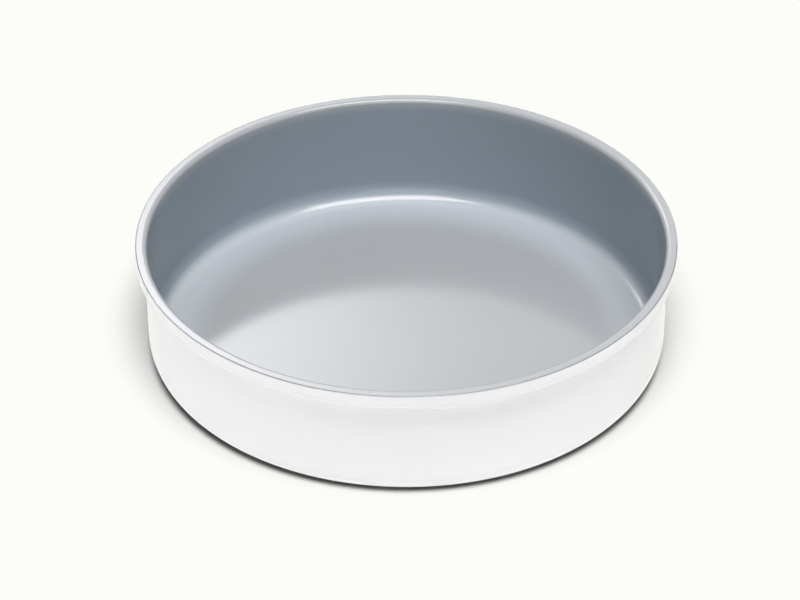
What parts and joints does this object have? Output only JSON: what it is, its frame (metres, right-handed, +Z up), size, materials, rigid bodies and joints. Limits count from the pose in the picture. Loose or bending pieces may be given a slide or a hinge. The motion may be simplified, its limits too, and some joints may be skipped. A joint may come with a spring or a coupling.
{
  "type": "round cake tin",
  "caption": "Round, straight-walled cake tin in coated steel, with a flat wired rim folded down into a short skirt, grey inside and white outside.",
  "frame": {"origin": "centre of the flat underside, on the plane that the tin stands on", "axes": "+Z up along the tin's axis of revolution, out of its open mouth; X and Y lie in the plane it stands on and are alike"},
  "size_m": [0.239, 0.239, 0.0553],
  "materials": {
    "shell_steel": "aluminised sheet, hidden under the coats",
    "wire_steel": "plain drawn wire, hidden in the rim",
    "grey_lining": "smooth satin grey non-stick coat with a soft gloss",
    "white_enamel": "smooth white coat with a low gloss"
  },
  "bodies": {
    "root": {"steel_shell": "shell_steel", "rim_wire": "wire_steel", "nonstick_lining": "grey_lining", "outer_enamel": "white_enamel"}
  },
  "joints": []
}
